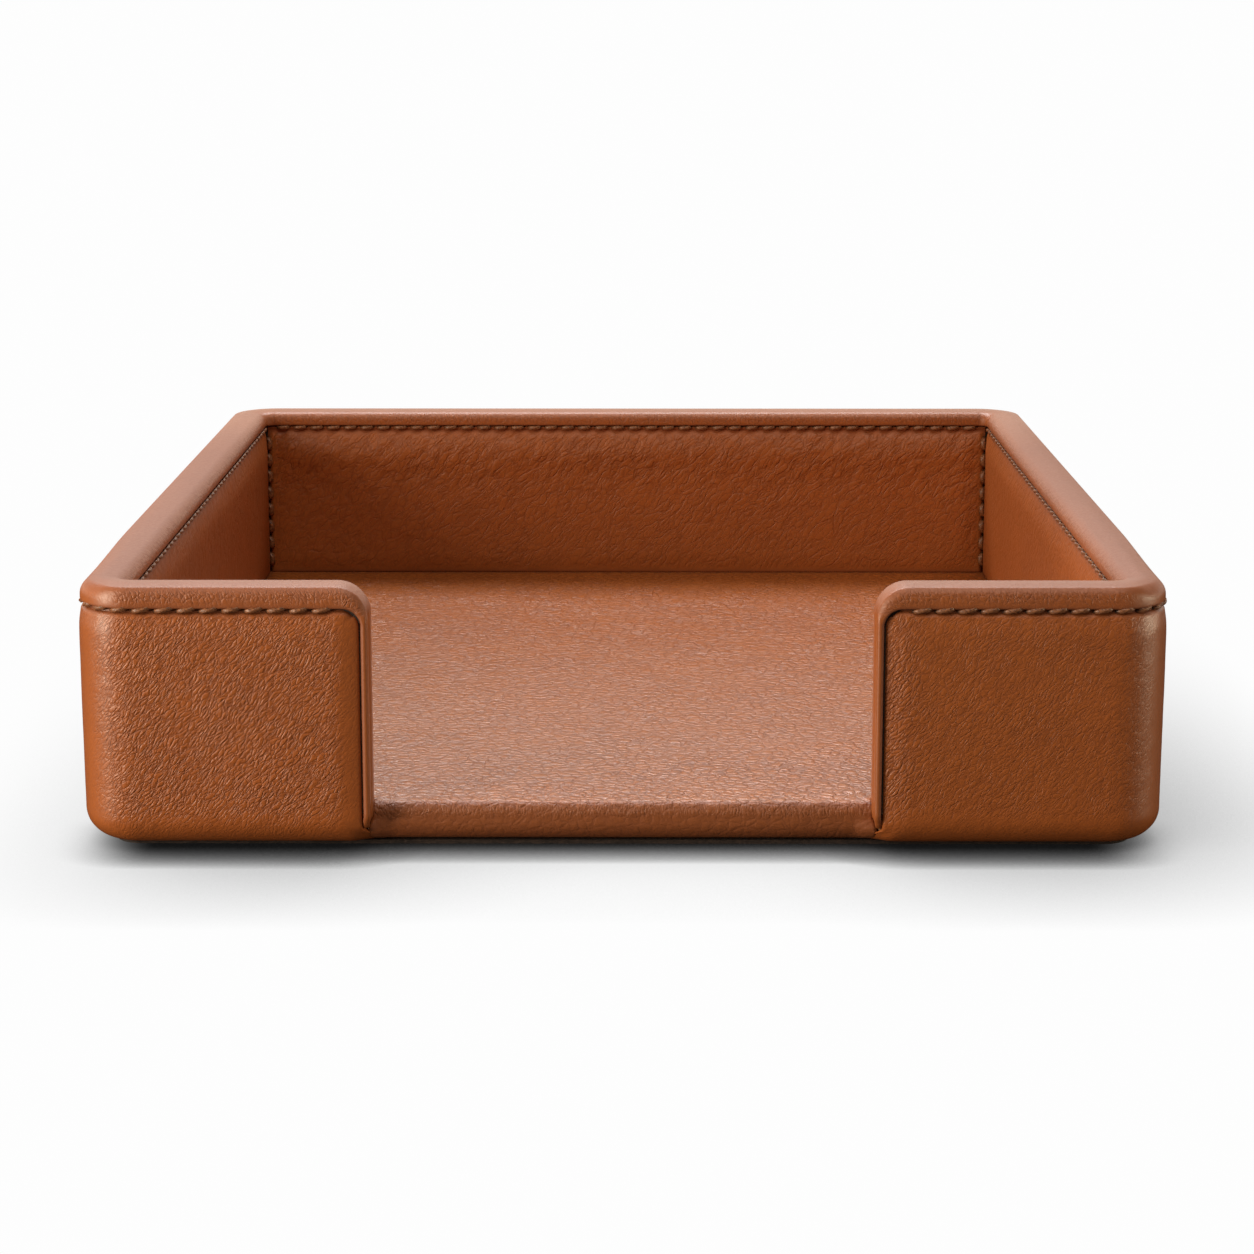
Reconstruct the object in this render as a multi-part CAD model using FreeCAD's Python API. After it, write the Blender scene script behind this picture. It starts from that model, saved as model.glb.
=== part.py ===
import FreeCAD, Part
import math
import os

from FreeCAD import Placement, Rotation, Vector

# A leather-covered valet tray with an open front, in millimetres.
# +Z is up, the front faces -Y, and the origin is the middle of the footprint on the table.

# Overall size
tray_width = 220.0
tray_depth = 240.0
tray_height = 54.5
corner_radius = 12.0
inner_corner_radius = 2.0
bottom_edge_radius = 6.8

# Open front
cutout_width = 101.5
cutout_corner_radius = 6.5
lip_setback = 4.0
lip_top_radius = 2.2
lip_bottom_radius = 4.4

# Thickness of each layer
leather_thickness = 1.2
wall_foam_thickness = 1.2
wall_board_thickness = 5.0
base_board_thickness = 5.0
floor_foam_thickness = 0.9
pad_thickness = 0.8

# Joints hidden inside
rebate_depth = 1.5
hem_width = 16.0
card_clearance = 0.5
pad_inset = 6.0

# Rim binding and its seams
rim_outer_drop = 4.9
rim_inner_drop = 4.2
rim_outer_radius = 1.8
rim_inner_radius = 2.3
end_leaf_width = 1.4
end_leaf_bottom = 4.2
panel_corner_radius = 3.2
groove_gap = 0.35
seam_gap = 1.1

# Thread
thread_diameter = 0.9
thread_depth = 0.5
stitch_pitch = 4.7
stitch_length = 4.2
stitch_taper = 1.2
stitch_tip_diameter = 0.45
stitch_slant = 6.0
seam_end_margin = 6.8
corner_stitch_margin = 1.5

# Half sizes and depths below the outer leather face
half_width = tray_width / 2
half_depth = tray_depth / 2
board_outer_depth = leather_thickness + wall_foam_thickness
board_inner_depth = board_outer_depth + wall_board_thickness
panel_back_depth = board_inner_depth + wall_foam_thickness
wall_thickness = panel_back_depth + leather_thickness
wall_middle_depth = wall_thickness / 2

# Heights above the table
board_bottom = pad_thickness + leather_thickness
base_board_top = board_bottom + base_board_thickness
lining_bottom = base_board_top + floor_foam_thickness
floor_top = lining_bottom + leather_thickness
core_top = tray_height - leather_thickness
foam_bottom = pad_thickness + bottom_edge_radius
outer_seam_z = tray_height - rim_outer_drop
inner_seam_z = tray_height - rim_inner_drop

# Places across the width and the depth
end_x = cutout_width / 2
stub_far_x = half_width - corner_radius
board_inner_x = half_width - board_inner_depth
board_inner_y = half_depth - board_inner_depth
panel_back_x = half_width - panel_back_depth
panel_back_y = half_depth - panel_back_depth
inside_x = half_width - wall_thickness
inside_y = half_depth - wall_thickness

# How far a cutting shape runs past what it cuts
overrun = 1.0
tiny = 1e-4


def box(x_range, y_range, z_range):
    low = Vector(x_range[0], y_range[0], z_range[0])
    high = Vector(x_range[1], y_range[1], z_range[1])
    size = high - low
    return Part.makeBox(size.x, size.y, size.z, low)


def both_sides(shape):
    return [shape, shape.mirror(Vector(0, 0, 0), Vector(1, 0, 0))]


def single(shape):
    return shape.removeSplitter().Solids[0]


def rounded_plate(half_x, half_y, radius, z_range):
    """An upright plate with a rounded rectangular outline, centred on the origin."""
    corners = [(1, 1), (-1, 1), (-1, -1), (1, -1)]
    edges = []
    ends = []
    for index, (sign_x, sign_y) in enumerate(corners):
        centre = Vector(sign_x * (half_x - radius), sign_y * (half_y - radius), z_range[0])
        turns = [math.radians(90 * index + step) for step in (0, 45, 90)]
        arc = [centre + Vector(math.cos(a), math.sin(a), 0) * radius for a in turns]
        edges.append(Part.Arc(*arc).toShape())
        ends.append((arc[0], arc[2]))
    for index in range(len(corners)):
        start = ends[index][1]
        stop = ends[(index + 1) % len(corners)][0]
        edges.append(Part.LineSegment(start, stop).toShape())
    outline = Part.Wire(Part.__sortEdges__(edges))
    return Part.Face(outline).extrude(Vector(0, 0, z_range[1] - z_range[0]))


def inset_plate(depth, z_range):
    """The tray's outline taken in by a depth below the outer leather face."""
    return rounded_plate(half_width - depth, half_depth - depth, corner_radius - depth, z_range)


def sharp_edges_above(solid, z_floor):
    """The edges above a level where two faces meet at an angle."""
    found = []
    for edge in solid.Edges:
        faces = solid.ancestorsOfType(edge, Part.Face)
        if edge.BoundBox.ZMax < z_floor + tiny or len(faces) != 2:
            continue
        middle = edge.valueAt((edge.FirstParameter + edge.LastParameter) / 2)
        normals = [face.normalAt(*face.Surface.parameter(middle)) for face in faces]
        if abs(normals[0].dot(normals[1])) < 0.9:
            found.append(edge)
    return found


def on_outer_half(edge):
    """Whether an edge lies nearer the outer face of the walls than the inner one."""
    middle = edge.valueAt((edge.FirstParameter + edge.LastParameter) / 2)
    past_x = abs(middle.x) > half_width - wall_middle_depth
    past_y = abs(middle.y) > half_depth - wall_middle_depth
    return past_x or past_y


def skin_block(depth):
    """The whole tray as one block with a rounded bottom edge, taken in by a depth."""
    bottom = pad_thickness + depth
    block = inset_plate(depth, (bottom, tray_height + overrun))
    low_edges = [edge for edge in block.Edges if edge.BoundBox.ZMax < bottom + tiny]
    return block.makeFillet(bottom_edge_radius - depth, low_edges)


def front_gap(depth):
    """The open front, with the rounded upper corners of both wall ends, widened by a depth."""
    side_x = end_x + depth
    arc_centre = Vector(end_x + cutout_corner_radius, 0, tray_height - cutout_corner_radius)
    arc_radius = cutout_corner_radius - depth
    slope = math.sqrt(0.5) * arc_radius
    foot = Vector(side_x, 0, -overrun)
    arc_low = Vector(side_x, 0, arc_centre.z)
    arc_middle = arc_centre + Vector(-slope, 0, slope)
    arc_high = arc_centre + Vector(0, 0, arc_radius)
    head = Vector(arc_high.x, 0, tray_height + overrun)
    centre_head = Vector(0, 0, head.z)
    centre_foot = Vector(0, 0, foot.z)
    edges = [
        Part.LineSegment(foot, arc_low).toShape(),
        Part.Arc(arc_low, arc_middle, arc_high).toShape(),
        Part.LineSegment(arc_high, head).toShape(),
        Part.LineSegment(head, centre_head).toShape(),
        Part.LineSegment(centre_head, centre_foot).toShape(),
        Part.LineSegment(centre_foot, foot).toShape(),
    ]
    face = Part.Face(Part.Wire(edges))
    face.translate(Vector(0, -half_depth - overrun, 0))
    halves = both_sides(face.extrude(Vector(0, wall_thickness + 2 * overrun, 0)))
    return halves[0].fuse(halves[1])


def wall_band(depth):
    """The walls with rounded rim edges, taken in by a depth on every face but the foot."""
    top = tray_height - depth
    outside = inset_plate(depth, (0, top))
    inside = rounded_plate(
        inside_x + depth,
        inside_y + depth,
        inner_corner_radius + depth,
        (-overrun, tray_height + overrun),
    )
    band = outside.cut(inside).cut(front_gap(depth))
    outer_edges = [edge for edge in sharp_edges_above(band, 0) if on_outer_half(edge)]
    band = band.makeFillet(rim_outer_radius - depth, outer_edges)
    return band.makeFillet(rim_inner_radius - depth, sharp_edges_above(band, 0))


def ring(depth_range, z_range):
    """An upright ring between two depths, sharp at its inner corners."""
    inner_x = half_width - depth_range[1]
    inner_y = half_depth - depth_range[1]
    hollow = box(
        (-inner_x, inner_x),
        (-inner_y, inner_y),
        (z_range[0] - overrun, z_range[1] + overrun),
    )
    return inset_plate(depth_range[0], z_range).cut(hollow)


def stub_window(edge_x, top_z, radius, y_range):
    """The field of a front panel on both sides, with a rounded corner next to the open front."""
    far_x = stub_far_x + overrun
    slope = math.sqrt(0.5) * radius
    foot = Vector(edge_x, y_range[0], end_leaf_bottom - groove_gap)
    arc_low = Vector(edge_x, y_range[0], top_z - radius)
    arc_high = Vector(edge_x + radius, y_range[0], top_z)
    arc_middle = Vector(edge_x + radius - slope, y_range[0], top_z - radius + slope)
    far_top = Vector(far_x, y_range[0], top_z)
    far_foot = Vector(far_x, y_range[0], foot.z)
    edges = [
        Part.LineSegment(foot, arc_low).toShape(),
        Part.Arc(arc_low, arc_middle, arc_high).toShape(),
        Part.LineSegment(arc_high, far_top).toShape(),
        Part.LineSegment(far_top, far_foot).toShape(),
        Part.LineSegment(far_foot, foot).toShape(),
    ]
    face = Part.Face(Part.Wire(edges))
    return both_sides(face.extrude(Vector(0, y_range[1] - y_range[0], 0)))


def front_zone(y_range, z_range):
    """The stretch of the front wall between the two rounded corners."""
    return box((-stub_far_x, stub_far_x), y_range, z_range)


def lip_block(depth):
    """The floor's front edge between the wall ends as a rounded block, taken in by a depth."""
    front = -half_depth + lip_setback + depth
    back = -half_depth + hem_width
    bottom = pad_thickness + depth
    top = floor_top - depth
    block = box((-end_x, end_x), (front, back), (bottom, top))
    for level, radius in ((top, lip_top_radius), (bottom, lip_bottom_radius)):
        corner = [
            edge
            for edge in block.Edges
            if edge.BoundBox.YMax < front + tiny
            and edge.BoundBox.ZLength < tiny
            and abs(edge.BoundBox.ZMin - level) < tiny
        ]
        block = block.makeFillet(radius - depth, corner)
    return block


# Boards

def base_panel_outline():
    """The base board's full outline, which the wall boards are rebated for."""
    edge_x = board_inner_x + rebate_depth
    edge_y = board_inner_y + rebate_depth
    return box((-edge_x, edge_x), (-edge_y, edge_y), (board_bottom, base_board_top))


def make_base_board():
    panel = base_panel_outline().common(skin_block(leather_thickness))
    levels = box(
        (-end_x, end_x),
        (-half_depth, -half_depth + hem_width),
        (board_bottom, base_board_top),
    )
    tongue = lip_block(leather_thickness).common(levels)
    return single(panel.fuse(tongue))


def make_wall_boards():
    frame = ring((board_outer_depth, board_inner_depth), (board_bottom, core_top))
    frame = frame.common(wall_band(leather_thickness)).common(skin_block(leather_thickness))
    frame = frame.cut(base_panel_outline())
    reach = 2 * wall_thickness
    outer_x = half_width + overrun
    outer_y = half_depth + overrun
    inner_x = half_width - reach
    inner_y = half_depth - reach
    sectors = {
        "back": [(-outer_x, outer_y), (outer_x, outer_y), (inner_x, inner_y), (-inner_x, inner_y)],
        "left": [(-outer_x, -outer_y), (-outer_x, outer_y), (-inner_x, inner_y), (-inner_x, -inner_y)],
        "right": [(outer_x, -outer_y), (outer_x, outer_y), (inner_x, inner_y), (inner_x, -inner_y)],
        "front": [(-outer_x, -outer_y), (outer_x, -outer_y), (inner_x, -inner_y), (-inner_x, -inner_y)],
    }
    boards = {}
    for name, corners in sectors.items():
        outline = Part.makePolygon([Vector(x, y, 0) for x, y in corners + corners[:1]])
        sector = Part.Face(outline).extrude(Vector(0, 0, tray_height))
        pieces = frame.common(sector).Solids
        if name == "front":
            pieces = sorted(pieces, key=lambda piece: piece.CenterOfMass.x)
            boards["front_left_wall_board"] = pieces[0]
            boards["front_right_wall_board"] = pieces[-1]
        else:
            boards[name + "_wall_board"] = pieces[0]
    return boards


# Foam

def make_outer_wall_foam():
    sleeve = inset_plate(leather_thickness, (foam_bottom, core_top))
    hollow = inset_plate(board_outer_depth, (foam_bottom - overrun, core_top + overrun))
    return single(sleeve.cut(hollow).common(wall_band(leather_thickness)))


def inner_layer(depth_range, side_reach, back_reach, z_range, end_gap):
    """One flat sheet for each inside wall face, between two depths below the outer face."""
    x_near, x_far = (half_width - depth for depth in (depth_range[1], depth_range[0]))
    y_near, y_far = (half_depth - depth for depth in (depth_range[1], depth_range[0]))
    return {
        "back": box((-back_reach, back_reach), (y_near, y_far), z_range),
        "left": box((-x_far, -x_near), (-side_reach, side_reach), z_range),
        "right": box((x_near, x_far), (-side_reach, side_reach), z_range),
        "front_left": box((-back_reach, -end_x - end_gap), (-y_far, -y_near), z_range),
        "front_right": box((end_x + end_gap, back_reach), (-y_far, -y_near), z_range),
    }


def make_inner_foams():
    sheets = inner_layer(
        (board_inner_depth, panel_back_depth),
        panel_back_y,
        board_inner_x,
        (floor_top, core_top),
        leather_thickness,
    )
    core = wall_band(leather_thickness)
    return {name + "_inner_foam": single(sheet.common(core)) for name, sheet in sheets.items()}


def make_floor_foam():
    sheet = box(
        (-board_inner_x, board_inner_x),
        (-board_inner_y, board_inner_y),
        (base_board_top, lining_bottom),
    )
    levels = box(
        (-end_x, end_x),
        (-half_depth, -half_depth + hem_width),
        (base_board_top, lining_bottom),
    )
    return single(sheet.fuse(lip_block(leather_thickness).common(levels)))


# Leather

def make_floor_lining():
    sheet = box(
        (-board_inner_x, board_inner_x),
        (-board_inner_y, board_inner_y),
        (lining_bottom, floor_top),
    )
    inner = lip_block(leather_thickness)
    return single(lip_block(0).cut(inner).fuse(sheet))


def make_inner_panels():
    sheets = inner_layer(
        (panel_back_depth, wall_thickness),
        panel_back_y - seam_gap,
        panel_back_x - seam_gap,
        (floor_top, inner_seam_z - seam_gap / 2),
        end_leaf_width + groove_gap,
    )
    return {name + "_inner_panel": sheet for name, sheet in sheets.items()}


def make_outer_wrap():
    shell = skin_block(0).cut(skin_block(leather_thickness))
    hollow_x = half_width - hem_width
    hollow_y = half_depth - hem_width
    shell = shell.cut(box((-hollow_x, hollow_x), (-hollow_y, hollow_y), (0, tray_height)))
    seam_low = outer_seam_z - seam_gap / 2
    seam_high = outer_seam_z + seam_gap / 2
    front_y = (-half_depth - overrun, -half_depth + hem_width + overrun)
    low_top = end_leaf_bottom - groove_gap
    field = inset_plate(-overrun, (0, seam_low))
    field = field.cut(front_zone(front_y, (low_top, tray_height)))
    field = field.cut(box((-end_x, end_x), front_y, (-overrun, tray_height)))
    slot_start = end_x + seam_end_margin
    slot = box((slot_start, half_width), front_y, (seam_low, tray_height))
    slot_end = Part.makeCylinder(
        seam_gap / 2,
        front_y[1] - front_y[0],
        Vector(slot_start, front_y[0], outer_seam_z),
        Vector(0, 1, 0),
    )
    windows = stub_window(
        end_x + end_leaf_width + groove_gap,
        seam_high - groove_gap,
        panel_corner_radius,
        front_y,
    )
    slots = both_sides(slot.fuse(slot_end))
    panels = [window.cut(slots) for window in windows]
    return single(shell.common(field.fuse(panels)))


def make_rim_binding(seated_on):
    skin = wall_band(0).common(skin_block(0)).cut(wall_band(leather_thickness))
    outer_high = outer_seam_z + seam_gap / 2
    inner_high = inner_seam_z + seam_gap / 2
    front_y = -half_depth - overrun
    middle_y = -half_depth + wall_middle_depth
    back_y = -half_depth + wall_thickness + overrun
    whole_height = (-overrun, tray_height)
    outer_waste = ring((-overrun, wall_middle_depth), (-overrun, outer_high))
    inner_waste = box(
        (-half_width + wall_middle_depth, half_width - wall_middle_depth),
        (-half_depth + wall_middle_depth, half_depth - wall_middle_depth),
        (-overrun, inner_high),
    )
    waste = [
        outer_waste.cut(front_zone((front_y, middle_y), whole_height)),
        inner_waste.cut(front_zone((middle_y, back_y), whole_height)),
        front_zone((front_y, back_y), (-overrun, end_leaf_bottom)),
    ]
    edge_x = end_x + end_leaf_width
    radius = panel_corner_radius + groove_gap
    waste += stub_window(edge_x, outer_high, radius, (front_y, middle_y))
    waste += stub_window(edge_x, inner_high, radius, (middle_y, back_y))
    return single(skin.cut(waste).cut(seated_on))


# Underside

def make_bottom_filler_card():
    card_x = half_width - hem_width - card_clearance
    card_y = half_depth - hem_width - card_clearance
    return box((-card_x, card_x), (-card_y, card_y), (pad_thickness, board_bottom))


def make_bottom_pad():
    return inset_plate(pad_inset, (0, pad_thickness))


# Thread

def stitch(centre, along, outward):
    """One stitch as a spindle of thread, slanted a little in the plane of its seam."""
    tip = stitch_length / 2
    swell = tip - stitch_taper
    tip_radius = stitch_tip_diameter / 2
    outline = [
        Vector(-tip, 0, 0),
        Vector(-tip, tip_radius, 0),
        Vector(-swell, thread_diameter / 2, 0),
        Vector(swell, thread_diameter / 2, 0),
        Vector(tip, tip_radius, 0),
        Vector(tip, 0, 0),
    ]
    face = Part.Face(Part.makePolygon(outline + outline[:1]))
    spindle = face.revolve(Vector(0, 0, 0), Vector(1, 0, 0), 360)
    across = outward.cross(along)
    facing = Rotation(along, across, outward, "XYZ")
    slant = Rotation(outward, stitch_slant)
    spindle.Placement = Placement(centre, slant.multiply(facing))
    return spindle


def straight_row(start, stop, outward):
    """Evenly pitched stitches between two points."""
    length = (stop - start).Length
    count = max(1, int(length / stitch_pitch))
    along = (stop - start).normalize()
    step = length / count
    return [stitch(start + along * (step * (index + 0.5)), along, outward) for index in range(count)]


def corner_row(centre, start_angle):
    """Stitches round a quarter turn of the outer seam."""
    radius = corner_radius - thread_depth
    count = max(1, round(math.pi / 2 * radius / stitch_pitch))
    stitches = []
    for index in range(count):
        angle = math.radians(start_angle + 90 * (index + 0.5) / count)
        outward = Vector(math.cos(angle), math.sin(angle), 0)
        along = Vector(-math.sin(angle), math.cos(angle), 0)
        stitches.append(stitch(centre + outward * radius, along, outward))
    return stitches


def make_outer_rim_stitches():
    flat_x = half_width - corner_radius
    flat_y = half_depth - corner_radius
    seam_x = half_width - thread_depth
    seam_y = half_depth - thread_depth
    start_x = end_x + seam_end_margin
    z = outer_seam_z
    stitches = straight_row(Vector(start_x, -seam_y, z), Vector(flat_x, -seam_y, z), Vector(0, -1, 0))
    stitches += corner_row(Vector(flat_x, -flat_y, z), -90)
    stitches += straight_row(Vector(seam_x, -flat_y, z), Vector(seam_x, flat_y, z), Vector(1, 0, 0))
    stitches += corner_row(Vector(flat_x, flat_y, z), 0)
    stitches += straight_row(Vector(flat_x, seam_y, z), Vector(-flat_x, seam_y, z), Vector(0, 1, 0))
    stitches += corner_row(Vector(-flat_x, flat_y, z), 90)
    stitches += straight_row(Vector(-seam_x, flat_y, z), Vector(-seam_x, -flat_y, z), Vector(-1, 0, 0))
    stitches += corner_row(Vector(-flat_x, -flat_y, z), 180)
    stitches += straight_row(Vector(-flat_x, -seam_y, z), Vector(-start_x, -seam_y, z), Vector(0, -1, 0))
    return stitches


def make_inner_rim_stitches():
    seam_x = inside_x + thread_depth
    seam_y = inside_y + thread_depth
    reach_x = inside_x - inner_corner_radius
    reach_y = inside_y - inner_corner_radius
    start_x = end_x + seam_end_margin
    z = inner_seam_z
    back = straight_row(Vector(reach_x, seam_y, z), Vector(-reach_x, seam_y, z), Vector(0, -1, 0))
    left = straight_row(Vector(-seam_x, reach_y, z), Vector(-seam_x, -reach_y, z), Vector(1, 0, 0))
    right = straight_row(Vector(seam_x, -reach_y, z), Vector(seam_x, reach_y, z), Vector(-1, 0, 0))
    front_left = straight_row(Vector(-reach_x, -seam_y, z), Vector(-start_x, -seam_y, z), Vector(0, 1, 0))
    front_right = straight_row(Vector(start_x, -seam_y, z), Vector(reach_x, -seam_y, z), Vector(0, 1, 0))
    return {
        "back_inner_stitches": back,
        "left_inner_stitches": left,
        "right_inner_stitches": right,
        "front_left_inner_stitches": front_left,
        "front_right_inner_stitches": front_right,
    }


def make_corner_stitches():
    seam_x = panel_back_x - seam_gap / 2
    seam_y = panel_back_y - seam_gap / 2
    low = floor_top + corner_stitch_margin
    high = inner_seam_z - seam_gap / 2 - corner_stitch_margin
    rows = {}
    for name, sign_x, sign_y in (
        ("back_left", -1, 1),
        ("back_right", 1, 1),
        ("front_left", -1, -1),
        ("front_right", 1, -1),
    ):
        place = Vector(sign_x * seam_x, sign_y * seam_y, 0)
        inward = Vector(-sign_x, -sign_y, 0).normalize()
        rows[name + "_corner_stitches"] = straight_row(
            place + Vector(0, 0, low), place + Vector(0, 0, high), inward
        )
    return rows


def make_parts():
    parts = {"base_board": make_base_board()}
    parts.update(make_wall_boards())
    parts["outer_wall_foam"] = make_outer_wall_foam()
    parts.update(make_inner_foams())
    parts["floor_foam"] = make_floor_foam()
    parts["floor_lining"] = make_floor_lining()
    parts.update(make_inner_panels())
    parts["outer_wrap"] = make_outer_wrap()
    floor_stack = [parts[name] for name in ("base_board", "floor_foam", "floor_lining")]
    parts["rim_binding"] = make_rim_binding(floor_stack)
    parts["bottom_filler_card"] = make_bottom_filler_card()
    parts["bottom_pad"] = make_bottom_pad()
    parts["outer_rim_stitches"] = Part.makeCompound(make_outer_rim_stitches())
    for name, row in {**make_inner_rim_stitches(), **make_corner_stitches()}.items():
        parts[name] = Part.makeCompound(row)
    return parts


os.makedirs("parts", exist_ok=True)
for node, shape in make_parts().items():
    shape.exportStep("parts/" + node + ".step")
    print(node, "solids", len(shape.Solids), "volume", round(shape.Volume, 1), "valid", shape.isValid())
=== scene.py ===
import bpy
import bmesh
import math
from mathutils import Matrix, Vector, noise


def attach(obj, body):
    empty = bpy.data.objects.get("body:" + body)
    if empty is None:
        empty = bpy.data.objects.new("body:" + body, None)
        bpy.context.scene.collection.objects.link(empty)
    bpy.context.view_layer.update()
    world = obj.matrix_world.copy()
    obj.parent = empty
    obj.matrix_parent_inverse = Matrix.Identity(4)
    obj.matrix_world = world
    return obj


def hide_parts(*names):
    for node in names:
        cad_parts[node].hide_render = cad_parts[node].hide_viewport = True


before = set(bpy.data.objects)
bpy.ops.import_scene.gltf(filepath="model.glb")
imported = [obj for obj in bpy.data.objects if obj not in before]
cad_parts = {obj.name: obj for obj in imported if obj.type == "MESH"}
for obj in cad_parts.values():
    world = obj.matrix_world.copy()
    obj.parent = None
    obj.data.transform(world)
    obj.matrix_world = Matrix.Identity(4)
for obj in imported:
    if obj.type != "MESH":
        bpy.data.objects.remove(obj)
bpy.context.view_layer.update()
mm = 0.001
bpy.context.scene.view_settings.view_transform = "Standard"

# the tray's own sizes in millimetres, as in the part's source
tray = {
    "halfWidth": 110.0,
    "halfDepth": 120.0,
    "height": 54.5,
    "corner": 12.0,
    "wall": 9.8,
    "floorTop": 9.1,
    "openHalf": 50.75,
    "underside": 0.8,
    "leather": 1.2,
    "outerSeam": 49.6,
    "innerSeam": 50.3,
    "seamGap": 1.1,
    "seamStart": 57.55,
    "stripWidth": 1.4,
    "groove": 0.35,
}
cornerX = tray["halfWidth"] - tray["corner"]
cornerY = tray["halfDepth"] - tray["corner"]
insideX = tray["halfWidth"] - tray["wall"]
insideY = tray["halfDepth"] - tray["wall"]


def softStep(low, high, x):
    t = min(max((x - low) / (high - low), 0.0), 1.0)
    return t * t * (3 - 2 * t)


def swell(u, v, seed, size):
    return noise.noise(Vector((u / size, v / size, seed)))


# ridge lines of crumpled hide: long along the tilt, narrow across it
def crumple(u, v, seed, tilt, length, width):
    along = u * math.cos(tilt) + v * math.sin(tilt)
    across = v * math.cos(tilt) - u * math.sin(tilt)
    across += 0.8 * width * noise.noise(Vector((u / 7, v / 7, seed + 5)))
    value = noise.noise(Vector((along / length, across / width, seed)))
    return 1 - min(1.0, abs(value) * 2.6)


# how deep a turned edge lies at a distance from its outline
def turnedEdge(distance, radius):
    if distance >= radius:
        return 0.0
    return radius - math.sqrt(max(radius ** 2 - (radius - distance) ** 2, 0.0))


def spread(start, stop, step):
    count = max(1, round(abs(stop - start) / step))
    return [start + (stop - start) * k / count for k in range(1, count)]


# sine and cosine along a quarter turn
def quarterTurn(steps):
    angles = [math.pi / 2 * k / steps for k in range(steps + 1)]
    return [(math.sin(angle), math.cos(angle)) for angle in angles]


# how far into a stitch's hole a place lies: whole phases are the holes
def holeAt(phase):
    return 0.5 + 0.5 * math.cos(2 * math.pi * phase)


def camelName(nodeName):
    first, *others = nodeName.split("_")
    return first + "".join(word.capitalize() for word in others)


def addObject(name, data):
    made = bpy.data.objects.new(name, data)
    bpy.context.scene.collection.objects.link(made)
    return made


# a mesh piece from points in millimetres, with the hide's own flat coordinates and its finish kept on
# the points: grain amount, pressed edges with painted shade at seams, edges, undersides and tops, and wax or,
# on the floor, cross creases
def makePiece(name, points, faces, hideMap, finish, material, nodes):
    mesh = bpy.data.meshes.new(name)
    mesh.from_pydata([(x * mm, y * mm, z * mm) for x, y, z in points], [], faces)
    for label, values in (("hideMap", hideMap), ("finish", finish)):
        layer = mesh.attributes.new(label, "FLOAT_VECTOR", "POINT")
        layer.data.foreach_set("vector", [part for value in values for part in value])
    work = bmesh.new()
    work.from_mesh(mesh)
    bmesh.ops.recalc_face_normals(work, faces=work.faces)
    work.to_mesh(mesh)
    work.free()
    mesh.shade_smooth()
    mesh.materials.append(material)
    piece = addObject(name, mesh)
    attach(piece, "root")
    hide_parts(*nodes)
    return piece


# faces of a row of closed sections, with both ends closed
def sectionFaces(columns, ring):
    faces = []
    for i in range(columns - 1):
        for j in range(ring):
            k = (j + 1) % ring
            faces.append((i * ring + j, i * ring + k, (i + 1) * ring + k, (i + 1) * ring + j))
    faces.append(tuple(range(ring)))
    faces.append(tuple((columns - 1) * ring + j for j in reversed(range(ring))))
    return faces


# Shader groups

def put(tree, kind, inputs=None, **settings):
    made = tree.nodes.new("ShaderNode" + kind)
    for key, value in settings.items():
        setattr(made, key, value)
    for socket, value in (inputs or {}).items():
        if isinstance(value, bpy.types.NodeSocket):
            tree.links.new(value, made.inputs[socket])
        else:
            made.inputs[socket].default_value = value
    return made


def maths(tree, operation, first, second=0.0, clamp=False):
    return put(tree, "Math", {0: first, 1: second}, operation=operation, use_clamp=clamp).outputs[0]


def added(tree, base, value, weight):
    return maths(tree, "ADD", base, maths(tree, "MULTIPLY", value, weight))


def ranged(tree, value, low, high, toLow=0.0, toHigh=1.0):
    numbers = {"Value": value, "From Min": low, "From Max": high, "To Min": toLow, "To Max": toHigh}
    return put(tree, "MapRange", numbers, interpolation_type="SMOOTHSTEP").outputs["Result"]


def mixed(tree, factor, first, second):
    return put(tree, "Mix", {0: factor, 6: first, 7: second}, data_type="RGBA").outputs[2]


def mixedLevel(tree, factor, first, second):
    return put(tree, "Mix", {0: factor, 2: first, 3: second}).outputs[0]


def vectors(tree, operation, first, second):
    socket = "Scale" if operation == "SCALE" else 1
    return put(tree, "VectorMath", {0: first, socket: second}, operation=operation).outputs[0]


def noiseAt(tree, place, scale, detail, roughness=0.5):
    inputs = {"Vector": place, "Scale": scale, "Detail": detail, "Roughness": roughness}
    return put(tree, "TexNoise", inputs).outputs


def split(tree, vector):
    return put(tree, "SeparateXYZ", {"Vector": vector}).outputs


def pointValue(tree, name):
    return put(tree, "Attribute", attribute_name=name).outputs["Vector"]


def startGroup(name, inputs, outputs):
    tree = bpy.data.node_groups.new(name, "ShaderNodeTree")
    for label, kind in inputs:
        tree.interface.new_socket(name=label, in_out="INPUT", socket_type="NodeSocket" + kind)
    for label, kind in outputs:
        tree.interface.new_socket(name=label, in_out="OUTPUT", socket_type="NodeSocket" + kind)
    return tree, tree.nodes.new("NodeGroupInput").outputs, tree.nodes.new("NodeGroupOutput").inputs


def useGroup(tree, group, inputs):
    return put(tree, "Group", inputs, node_tree=group).outputs


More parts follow.
